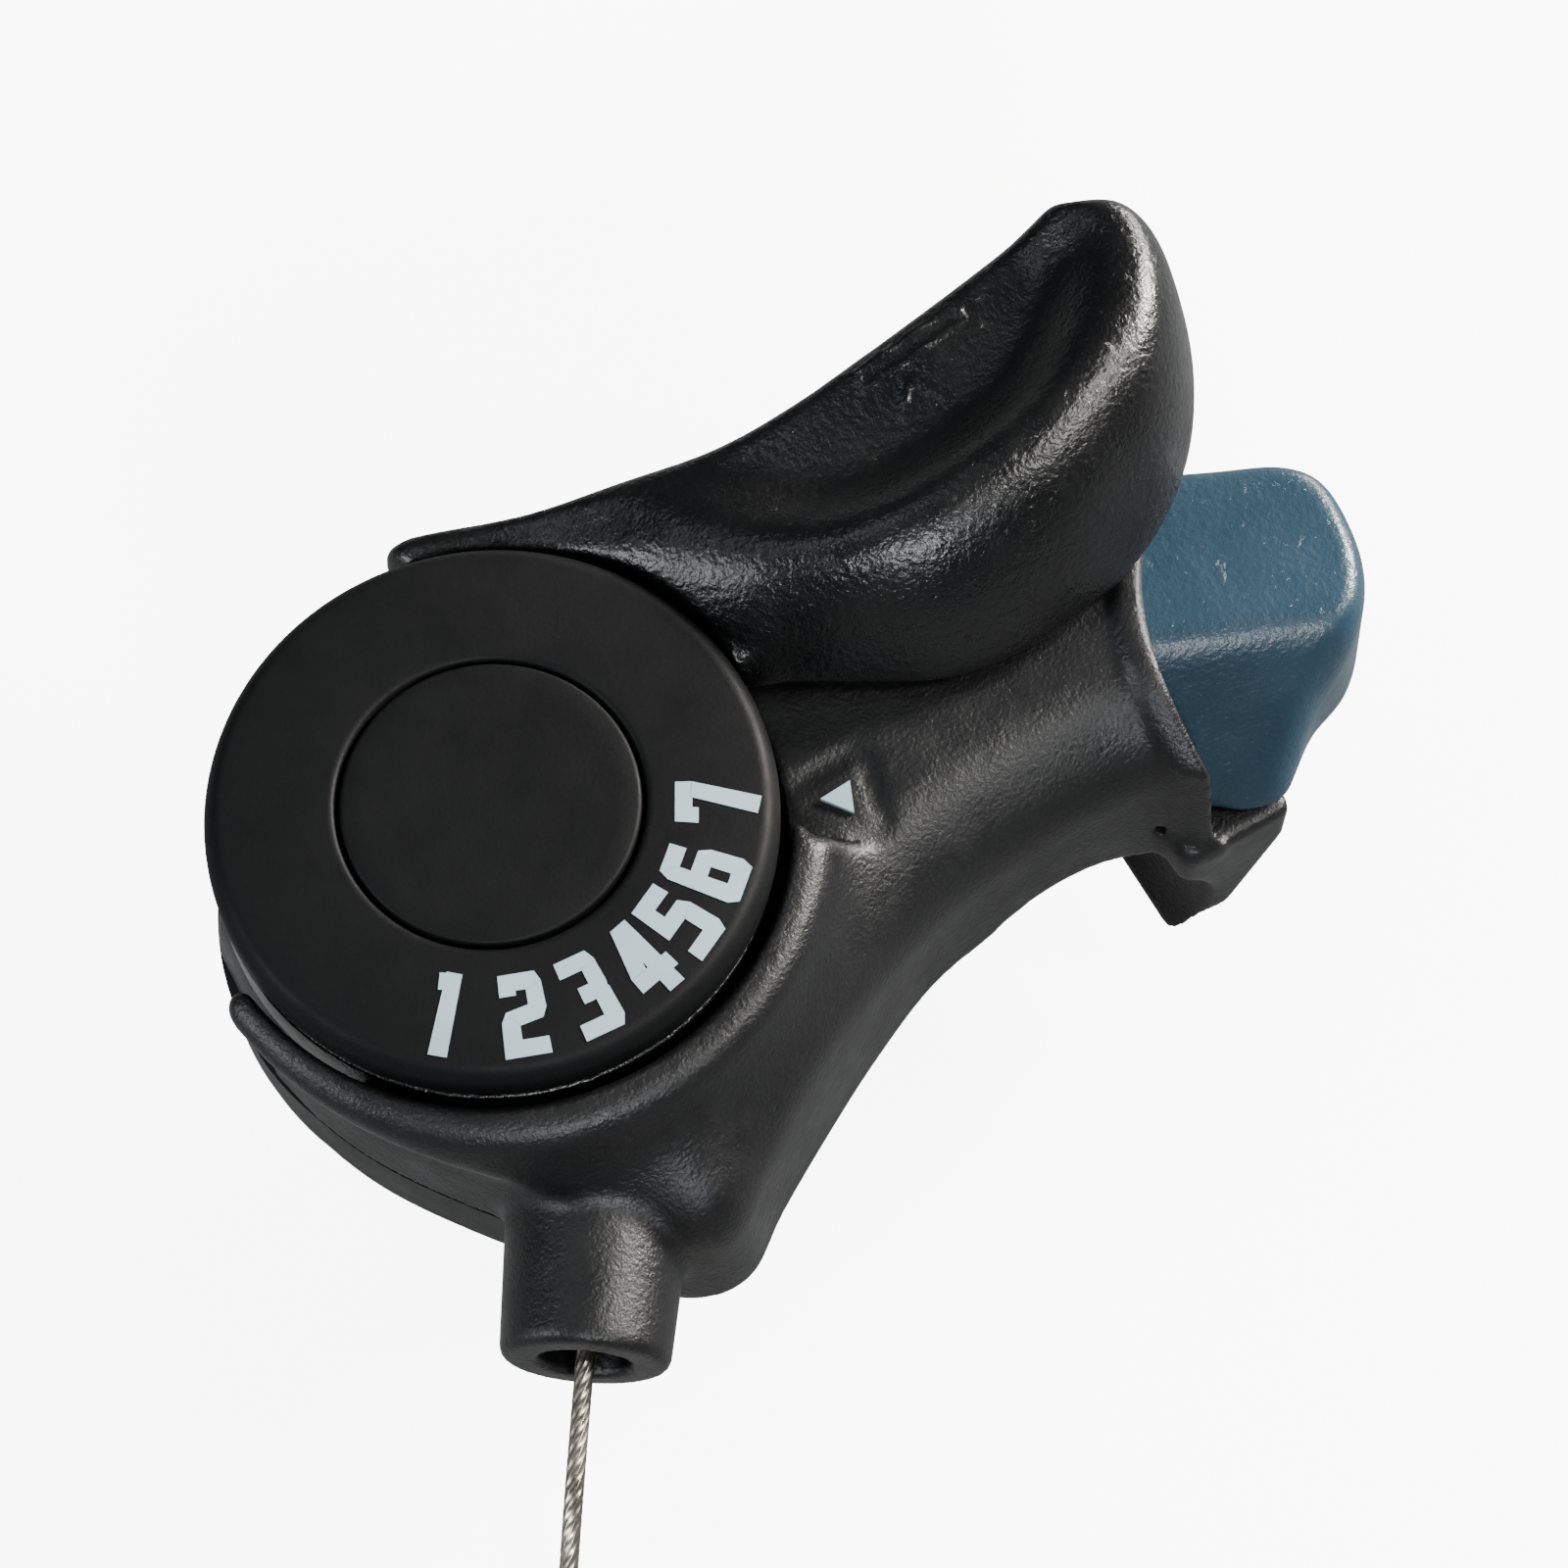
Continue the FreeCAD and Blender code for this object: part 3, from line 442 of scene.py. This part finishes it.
def make_housing(materials):
    g = Grid((-22, -33, -17), (53, 22, 23), 0.30)
    edge = g.outline(np.vstack([curve_through(PLAN), np.array(REST_OF_PLAN)]))
    wall = edge + WALL_DRAFT * (g.z - 2)
    # The deck, and the sloping face that runs down from it to the near edge.
    deck = 16.6 + 0.9 * smooth_step((g.x - 30) / 18) - 1.4 * smooth_step((2 - g.x) / 14)
    face = 13.2 + FACE_SLOPE * (-blurred(edge, 60) - 1.4) + 0.9 * smooth_step((g.x - 36) / 8)
    top = blend_min(deck, face, 1.6)
    body = blend_max(wall, (g.z - top) * 0.8, 2.2)
    body = blend_max(body, 2.0 - g.z, 0.5)

    # The collar round the dial, open where the lever swings.
    radius = np.hypot(g.x, g.y)
    bearing = np.degrees(np.arctan2(g.y, g.x)) % 360
    outer = (radius - 20.0 - 0.8 * smooth_step((bearing - 195) / 60)) - 0.35 * (19.0 - g.z)
    collar = blend_max(blend_max(outer, g.z - 20.2, 1.6), COLLAR_R - radius, 0.5)
    collar = blend_max(collar, edge - 1.6 + 0.55 * (19.0 - g.z), 1.2)
    ends = np.maximum(np.radians(184 - bearing), np.radians(bearing - 335)) * radius
    collar = blend_max(blend_max(collar, ends, 1.6), 8 - g.z, 0.3)
    body = blend_min(body, collar, 2.4)
    tab = g.outline(np.array([(16.8, -6.6), (21.8, -6.4), (20.7, -10.2), (17.2, -9.6)])) - 0.3
    body = blend_min(body, blend_max(tab, g.slab(12, TAB_Z), 0.3), 0.5)
    body = blend_max(body, -np.maximum(tab - 0.3, TAB_Z - g.z), 1.4)

    # The neck's end: a rim round the button, and below it the claw that holds the bar.
    from_end = np.hypot(g.x - END_X, g.y - END_Y)
    end = END_R - from_end
    rim = blend_max(np.maximum(END_R - 0.1 - from_end, from_end - (END_R + 1.5)), wall - 0.45, 0.6)
    rim = blend_max(blend_max(rim, g.z - top - 0.45, 0.6), 3 - g.z, 0.6)
    body = blend_min(blend_max(body, end, 0.7), rim, 0.8)
    lean = (g.x - 47.9) - 0.42 * np.minimum(g.z + 0.5, 0)
    claw = blend_max(np.maximum(39.6 - g.x, lean), g.slab(-14.4, 4.2), 0.9)
    claw = blend_max(claw, np.maximum(-18.9 - g.y - 0.25 * np.minimum(g.z + 8, 0), g.y - 5.5), 1.0)
    body = blend_min(body, claw, 1.2)

    # Space for the base cover's wall, the boss that the cable leaves by, and the neck's root.
    left = g.outline(np.array([(-30, 30), (-30, -30), (-9.5, -30), (-7.2, -15.4), (20, 30)]))
    body = np.maximum(body, -np.maximum(left, g.z - 6.45))
    body = blend_min(body, g.cable_rod(BOSS_R - 0.2, 8, BOSS_END - 0.7, 0.05), 1.0)
    root = g.box((14.2, -6, -8), (24, 5, 6))
    body = np.minimum(body, root)

    # What is hollow.
    for hole in (blend_max(g.post(CAVITY_R), -1 - g.z, 0.1),
                 blend_max(g.post(HUB_R + 0.6), 15 - g.z, 0.1)):
        body = blend_max(body, -hole, 0.3)
    body = blend_max(body, -g.bar(BAR_R), 0.7)
    body = blend_max(body, -g.cable_rod(BORE_R, BOSS_END - BORE_DEPTH, BOSS_END + 3), 0.4)
    body = np.maximum(body, -g.cable_rod(CABLE_R + 0.5, 0, BOSS_END))
    pocket = np.minimum.reduce([g.outline(curve_through([(x - s, y) for x, y in BLUE], closed=True))
                                for s in (0.0, 0.7, 1.4, 2.0)]) - 0.35
    pocket = np.maximum(np.maximum(pocket, 39.0 - g.x),
                        np.maximum(4.2 - g.z, g.z - blue_top(g, 0.4, 2.0)))
    skin = edge + 0.5 - 3 * smooth_step((g.x - 42.0) / 0.8)
    body = blend_max(body, -np.maximum(pocket, skin), 0.4)
    stem = g.box((27.5, -9.7, 6.4), (42, -2.3, 12.8))
    body = np.maximum(body, -stem)
    body = np.maximum(body, -np.maximum(g.post(2.2, 18.6, -0.5), g.z - 9.4))
    vertices, faces = g.skin(body)
    add_piece("housing_shell", vertices, faces, materials["housing_plastic"], HOUSING,
              ["upper_housing"])


# ---------------------------------------------------------------- lever

# The lever's crest, then its arm's outline in plan, then how high the dish is along x.
RIDGE = [(3.0, 17.9, 20.9), (7.6, 17.2, 21.4), (12.6, 16.2, 22.2), (17.0, 13.4, 23.6), (20.7, 8.6, 25.1),
         (24.6, 4.5, 26.6), (28.7, 2.8, 27.9), (33.0, 2.5, 28.6), (38.0, 2.9, 29.1), (42.4, 4.0, 29.3),
         (46.6, 6.6, 29.3), (50.2, 9.8, 29.0), (51.6, 13.0, 28.6), (50.6, 17.4, 28.0)]
ARM_PLAN = [(3.0, 19.6), (9.0, 17.9), (15.4, 16.0), (23.0, 14.4), (28.6, 14.2), (34.5, 14.8), (40.7, 15.6),
            (47.5, 16.6), (51.4, 17.0), (54.6, 16.2), (56.0, 13.0), (55.4, 9.0), (53.6, 4.8), (50.6, 0.6),
            (46.4, -2.9), (42.0, -4.9), (37.3, -5.8), (33.0, -5.8), (29.0, -5.0), (25.0, -2.9),
            (21.0, -0.6), (17.6, 1.2), (12.0, 8.0), (4.0, 15.0)]
DISH = [(6.0, 20.9), (14.0, 22.2), (20.0, 23.3), (28.0, 24.4), (36.0, 25.1), (46.0, 26.0), (56.0, 26.6)]


def dish_marks(g):
    """How far each place in plan is outside the raised outlines on the dish: a bar and a caret."""
    bar = np.abs(g.outline(np.array([(33.4, 12.2), (33.3, 13.5), (41.0, 14.3), (41.1, 13.1)]))) - 0.13
    caret = np.abs(g.outline(np.array([(34.3, 9.2), (36.0, 11.3), (37.2, 9.3), (36.0, 11.2)]))) - 0.09
    return np.minimum(bar, caret)


def make_lever(materials):
    g = Grid((-20, -20, 14.8), (57, 23, 31), 0.26)
    ridge = curve_through(RIDGE, steps=6)
    px, py = g.plan
    nearest = np.full(px.shape, 1e9, np.float32)
    crest, side = np.zeros_like(nearest), np.zeros_like(nearest)
    for a, b in zip(ridge, ridge[1:]):
        ex, ey = b[0] - a[0], b[1] - a[1]
        t = np.clip(((px - a[0]) * ex + (py - a[1]) * ey) / (ex * ex + ey * ey), 0, 1)
        gap = np.hypot(px - a[0] - t * ex, py - a[1] - t * ey)
        closer = gap < nearest
        nearest = np.where(closer, gap, nearest)
        crest = np.where(closer, a[2] + t * (b[2] - a[2]), crest)
        side = np.where(closer, np.sign(ex * (py - a[1]) - ey * (px - a[0])), side)
    nearest, crest, side = nearest[:, :, None], crest[:, :, None], side[:, :, None]
    plan = g.outline(curve_through(ARM_PLAN, closed=True))
    share = nearest / (nearest + np.maximum(-plan, 0) + 1e-6)
    outside = crest - (crest - 18.6) * share ** (2.1 + 1.5 * smooth_step((g.x - 44) / 8))
    floor = np.interp(g.x, *zip(*DISH)).astype(np.float32)
    inside = crest - (crest - floor) * smooth_step(nearest / 5.2)
    top = blurred(np.where(side > 0, inside, outside), 14)
    top = top + 0.22 * smooth_step(0.5 - dish_marks(g) / 0.34)
    arm = blend_max(blend_max(plan, (g.z - top) * 0.75, 1.5), 18.0 - g.z, 0.8)
    radius, bearing = np.hypot(g.x, g.y), np.degrees(np.arctan2(g.y, g.x))
    arm = blend_max(arm, DIAL_R + 0.5 - radius, 0.5)
    bridge = blend_max(np.maximum(HUB_R - 1.5 - radius, radius - 19.7), g.slab(18.1, 21.0), 1.2)
    bridge = blend_max(bridge, np.maximum(4 - bearing, bearing - 79) * radius * math.radians(1), 1.2)
    arm = blend_min(arm, blend_max(bridge, -np.maximum(radius - DIAL_R - 0.5, 19.4 - g.z), 0.2), 0.8)
    hub = np.maximum(radius - HUB_R, g.slab(15.4, 19.3))
    hub = np.maximum(hub, 4.5 - radius)
    hub = np.maximum(hub, -np.maximum(radius - 7.2, 17.5 - g.z))
    arm = blend_max(arm, -np.maximum(radius - DIAL_R - 0.4, 19.35 - g.z), 0.2)
    vertices, faces = g.skin(np.minimum(arm, hub))
    add_piece("thumb_lever", vertices, faces, materials["lever_plastic"], LEVER, ["lever"])


# ---------------------------------------------------------------- button

def make_button(materials):
    g = Grid((27, -20, 2), (61, 6, 18), 0.25)
    plan = g.outline(curve_through(BLUE, closed=True))
    pad = blend_max(plan + 0.06 * (g.z - 9), (g.z - blue_top(g)) * 0.7, 1.7)
    pad = blend_max(pad, 4.4 - g.z, 0.8)
    pad = np.maximum(pad, 41.7 - g.x)
    stem = g.box((30.6, -9.4, 6.7), (44, -2.6, 12.5))
    pad = np.minimum(pad, stem)
    rod = np.maximum(np.hypot(g.y + 6, g.z - 12.0) - 0.9, g.x - 31.8)
    vertices, faces = g.skin(np.maximum(pad, -rod))
    add_piece("blue_button", vertices, faces, materials["button_blue"], BUTTON,
              ["release_button"])


# ---------------------------------------------------------------- dial

def dial_height(r):
    """The printed face's height, which falls a little towards the rim."""
    return DIAL_TOP_Z - 0.45 * max(0.0, r - CAP_R) / 7.6


def make_dial(materials):
    outline = [(CAP_R + 0.25, 21.0), (CAP_R + 0.25, DIAL_TOP_Z), (16.8, dial_height(16.8)), (DIAL_R, 22.2),
               (DIAL_R, DIAL_RIM_Z), (15.4, DIAL_RIM_Z), (15.2, 19.35), (CAP_R + 0.25, 19.35)]
    vertices, faces = lathe(rounded_profile(outline, 0.5) + [outline[0]])
    recalculated(add_piece("dial_face", vertices, faces, materials["dial_plastic"], LEVER,
                           ["dial_plate"]))
    outline = [(0, 21.6), (7.6, 21.6), (7.6, 19.8), (CAP_R, 19.8), (CAP_R, DIAL_TOP_Z),
               (8.0, DIAL_TOP_Z + 0.1), (0, DIAL_TOP_Z + 0.2)]
    vertices, faces = lathe(rounded_profile(outline, 0.3))
    recalculated(add_piece("dial_centre_cap", vertices, faces, materials["dial_plastic"], LEVER,
                           ["dial_cap"]))


# The printed figures' centre lines, across and up a unit box.
FIGURES = {
    1: [[(0.62, 1.13), (0.62, -0.13)], [(0.10, 0.97), (0.62, 1.0)]],
    2: [[(0.0, 0.80), (0.0, 1.0), (0.93, 1.0), (1.0, 0.94), (1.0, 0.60), (0.92, 0.53), (0.08, 0.45),
         (0.0, 0.38), (0.0, 0.0), (1.2, 0.0)]],
    3: [[(-0.2, 1.0), (0.93, 1.0), (1.0, 0.94), (1.0, 0.60), (0.92, 0.52), (0.25, 0.52)],
        [(0.92, 0.52), (1.0, 0.46), (1.0, 0.06), (0.93, 0.0), (-0.2, 0.0)]],
    4: [[(0.72, -0.12), (0.72, 1.0), (0.50, 1.0), (0.0, 0.36), (0.0, 0.24), (1.25, 0.24)]],
    5: [[(1.2, 1.0), (0.02, 1.0), (0.02, 0.57), (0.92, 0.57), (1.0, 0.50), (1.0, 0.06), (0.93, 0.0),
         (-0.2, 0.0)]],
    6: [[(1.1, 1.0), (0.08, 1.0), (0.0, 0.94), (0.0, 0.06), (0.07, 0.0), (0.93, 0.0), (1.0, 0.06),
         (1.0, 0.50), (0.93, 0.57), (0.2, 0.57)]],
    7: [[(-0.05, 0.78), (-0.05, 1.0), (1.0, 1.0), (1.0, 0.90), (0.42, -0.12)]],
}
# Their bearings about the pivot in degrees, then their size in millimetres and where they sit.
FIGURE_AT = [-130.6, -110.2, -93.6, -77.0, -63.6, -48.6, -29.6]
FIGURE_WIDE, FIGURE_TALL, STROKE, FIGURE_R = 1.70, 4.1, 1.05, 13.7
PRINT_LIFT, PRINT_SINK = 0.05, 0.15     # how far the print stands out and reaches in


def stroke_strip(line, half):
    """Left and right edges of a stroke along the line, mitred at its corners."""
    line = [Vector(p) for p in line]
    ways = [(b - a).normalized() for a, b in zip(line, line[1:])]
    left, right = [], []
    for i, p in enumerate(line):
        before, after = ways[max(0, i - 1)], ways[min(i, len(ways) - 1)]
        across = Vector((-before.y - after.y, before.x + after.x)).normalized()
        reach = half / max(0.5, across.dot(Vector((-before.y, before.x))))
        left.append(p + across * reach)
        right.append(p - across * reach)
    return left, right


def make_figures(materials):
    """The printed numbers, a hair proud of the dial, their heads towards its centre."""
    for number, bearing in zip(FIGURES, FIGURE_AT):
        vertices, faces = [], []
        a = math.radians(bearing)
        for layer, line in enumerate(FIGURES[number]):
            line = [((u - 0.5) * FIGURE_WIDE, (v - 0.5) * FIGURE_TALL) for u, v in line]
            left, right = stroke_strip(line, STROKE / 2)
            base = len(vertices)
            for lift in (PRINT_LIFT + 0.01 * layer, -PRINT_SINK):
                for u, v in left + right[::-1]:
                    u = u * (1 - 0.5 * v / FIGURE_R)
                    x = (FIGURE_R - v) * math.cos(a) - u * math.sin(a)
                    y = (FIGURE_R - v) * math.sin(a) + u * math.cos(a)
                    vertices.append(tuple(mm(x, y, dial_height(math.hypot(x, y)) + lift)))
            k = len(left)
            n = 2 * k
            faces += [(base + i, base + n - 1 - i, base + n - 2 - i, base + i + 1) for i in range(k - 1)]
            faces += [(base + i, base + (i + 1) % n, base + n + (i + 1) % n, base + n + i)
                      for i in range(n)]
            faces += [(base + n + i + 1, base + 2 * n - 2 - i, base + 2 * n - 1 - i, base + n + i)
                      for i in range(k - 1)]
        piece = add_piece("figure_%d" % number, vertices, faces, materials["print_grey"], LEVER)
        piece.data.shade_flat()
        recalculated(piece)


def make_pointer(materials):
    """The printed triangle on the housing that the figures line up with."""
    corners = [(20.95, -7.3), (20.1, -9.3), (18.75, -7.45)]
    vertices = [tuple(mm(x, y, z)) for z in (TAB_Z + 0.06, TAB_Z - 0.6) for x, y in corners]
    faces = [(0, 2, 1), (3, 4, 5), (0, 1, 4, 3), (1, 2, 5, 4), (2, 0, 3, 5)]
    piece = add_piece("pointer_print", vertices, faces, materials["print_grey"], HOUSING)
    piece.data.shade_flat()
    recalculated(piece)


# ---------------------------------------------------------------- cable

FLOOR_MM = BAR_Z - BAR_R - 1.8          # the floor's height about the pivot
# The free run's points: how far along the cable's line, how far to its left, and the height.
LEAD = [(23.0, 0.0, 8.3), (32.5, 0.0, 8.3), (41.4, 0.0, 6.8), (45.8, -0.2, 0.8), (47.6, -0.5, -7.2),
        (49.9, -0.9, -14.2), (53.5, -1.3, -18.7), (57.7, -1.4, -19.55)]
COIL_ALONG, COIL_SIDE = 65.5, 12.6
# The coil: its outer radius, how far in a layer winds, turns in a layer, points in a turn, all turns.
OUTER, SPREAD, LAYER_TURNS, PER_TURN, TURNS = 14.0, 5.5, 4.7, 14, 27.28
LAYER_RISE, CROSSING = 1.2, 0.3         # a layer's height, and the part of a turn that climbs to it
CORNER_CUT = 0.978                      # about the spline's radius over its points': it cuts corners
END_CAP_R, END_CAP_Z = 11.6, FLOOR_MM + 7.8 + 1.05
TIE_HALF = 1.1                          # half a tie's width


def coil_points():
    """The spare cable's turns, in layers that wind in and out by turns, then up to the end cap."""
    points = []
    for i in range(1, int(TURNS * PER_TURN) + 1):
        t = i / PER_TURN
        layer = int(t / LAYER_TURNS)
        local = t - layer * LAYER_TURNS
        inwards = min(1.0, local / (LAYER_TURNS - CROSSING))
        radius = OUTER - SPREAD * (inwards if layer % 2 == 0 else 1 - inwards)
        climb = float(smooth_step((local - LAYER_TURNS + CROSSING) / CROSSING))
        z = FLOOR_MM + 0.95 + LAYER_RISE * (layer + climb)
        last = (t - TURNS + 0.6) / 0.55
        z += (END_CAP_Z - z) * float(smooth_step(last * 1.6))
        radius += (END_CAP_R - radius) * float(smooth_step(last))
        a = 2 * math.pi * t
        points.append(mm(*along_cable(COIL_ALONG + radius / CORNER_CUT * math.sin(a),
                                      COIL_SIDE - radius / CORNER_CUT * math.cos(a), z)))
    return points


def coil_centre():
    return mm(*along_cable(COIL_ALONG, COIL_SIDE, FLOOR_MM))


def end_cap_centre():
    return coil_centre() + Vector((0, -END_CAP_R, END_CAP_Z - FLOOR_MM)) / 1000


def cable_route():
    """The cable's line, read from a smooth spline through its route."""
    end = end_cap_centre()
    points = [mm(*along_cable(*p)) for p in LEAD] + coil_points()
    points += [end + Vector((x / 1000, 0, 0)) for x in (-3.6, -2.0)]
    data = bpy.data.curves.new("cable_route", "CURVE")
    data.dimensions, data.resolution_u = "3D", 10
    spline = data.splines.new("NURBS")
    spline.points.add(len(points) - 1)
    for control, point in zip(spline.points, points):
        control.co = (*point, 1)
    spline.order_u = 3
    spline.use_endpoint_u = True
    holder = bpy.data.objects.new("cable_route", data)
    line = np.array([tuple(v.co) for v in bpy.data.meshes.new_from_object(holder).vertices])
    bpy.data.objects.remove(holder)
    return line


def make_cable(materials):
    """The stranded cable, swept along its route with a twist, and what is on it."""
    line = cable_route()
    run = np.concatenate([[0], np.cumsum(np.linalg.norm(np.diff(line, axis=0), axis=1))])
    step, lay, wires = 0.0006, 0.009, 9     # metres along for a section and for one twist of the strand
    crown, hollow = 0.00060, 0.00049        # the strand's radius over a wire, and between two
    at = np.arange(0, run[-1], step)
    path = np.stack([np.interp(at, run, line[:, k]) for k in range(3)], axis=1)
    ways = np.gradient(path, axis=0)
    ways /= np.linalg.norm(ways, axis=1)[:, None]
    side = np.cross(ways[0], (0, 0, 1))
    vertices = []
    section = [(2 * math.pi * k / (3 * wires), crown if k % 3 else hollow) for k in range(3 * wires)]
    for place, way, distance in zip(path, ways, at):
        side = side - way * np.dot(side, way)
        side /= np.linalg.norm(side)
        up = np.cross(way, side)
        twist = 2 * math.pi * distance / lay
        vertices += [tuple(place + r * (math.cos(a + twist) * side + math.sin(a + twist) * up))
                     for a, r in section]
    n = len(section)
    faces = [(i * n + k, i * n + (k + 1) % n, (i + 1) * n + (k + 1) % n, (i + 1) * n + k)
             for i in range(len(path) - 1) for k in range(n)]
    faces += [tuple(range(n))[::-1], tuple(range((len(path) - 1) * n, len(path) * n))]
    cable = add_piece("gear_cable", vertices, faces, materials["cable_steel"], HOUSING,
                      ["cable_lead", "cable_coil"])
    [make_end_cap(materials)] + make_ties(materials)


def make_end_cap(materials):
    """The crimped cap on the cable's end: a sleeve with three pinches, closed at its far end."""
    centre = end_cap_centre()
    steps, vertices = 24, []
    outline = [(-4.4, 0.62), (-4.4, 0.85), (-4.2, 0.98), (-3.0, 0.98), (-2.5, 0.80), (-2.1, 0.80),
               (-1.6, 0.97), (-1.0, 0.97), (-0.6, 0.80), (-0.2, 0.80), (0.3, 0.97), (0.9, 0.97),
               (1.3, 0.80), (1.7, 0.80), (2.2, 0.98), (3.9, 0.98), (4.3, 0.80), (4.45, 0.4), (4.45, 0.0)]
    for x, r in outline:
        flat = 0.75 if r == 0.80 else 1.0
        vertices += [tuple(centre + Vector((x, r * math.cos(2 * math.pi * k / steps),
                                            flat * r * math.sin(2 * math.pi * k / steps))) / 1000)
                     for k in range(steps)]
    faces = [(i * steps + k, i * steps + (k + 1) % steps,
              (i + 1) * steps + (k + 1) % steps, (i + 1) * steps + k)
             for i in range(len(outline) - 1) for k in range(steps)]
    return recalculated(add_piece("crimped_cap", vertices, faces, materials["cap_aluminium"], HOUSING,
                                  ["cable_end_cap"]))


def make_ties(materials):
    """Two flat bands round the coil."""
    ties = []
    for number, bearing in enumerate((20, 300)):
        a = math.radians(bearing)
        out, along = Vector((math.cos(a), math.sin(a), 0)), Vector((-math.sin(a), math.cos(a), 0))
        loop = rounded_profile([(11.3, 0.05), (14.95, 0.05), (14.95, 7.85), (7.6, 7.85), (7.6, 0.05),
                                (11.3, 0.05)], 0.9)
        inner = rounded_profile([(11.3, 0.3), (14.7, 0.3), (14.7, 7.6), (7.85, 7.6), (7.85, 0.3),
                                 (11.3, 0.3)], 0.7)
        vertices, n = [], len(loop)
        for ring, w in ((loop, -TIE_HALF), (loop, TIE_HALF), (inner, TIE_HALF), (inner, -TIE_HALF)):
            vertices += [tuple(coil_centre() + (out * r + along * w + Vector((0, 0, z))) / 1000)
                         for r, z in ring]
        faces = [(q * n + k, q * n + k + 1, (q + 1) % 4 * n + k + 1, (q + 1) % 4 * n + k)
                 for q in range(4) for k in range(n - 1)]
        ties.append(recalculated(add_piece("coil_tie_%d" % (number + 1), vertices, faces,
                                           materials["base_plastic"], HOUSING)))
    return ties


make_camera()
materials = make_materials()
make_stage()
paint_nodes(materials)
make_cable(materials)
make_housing(materials)
make_lever(materials)
make_button(materials)
make_dial(materials)
make_figures(materials)
make_pointer(materials)
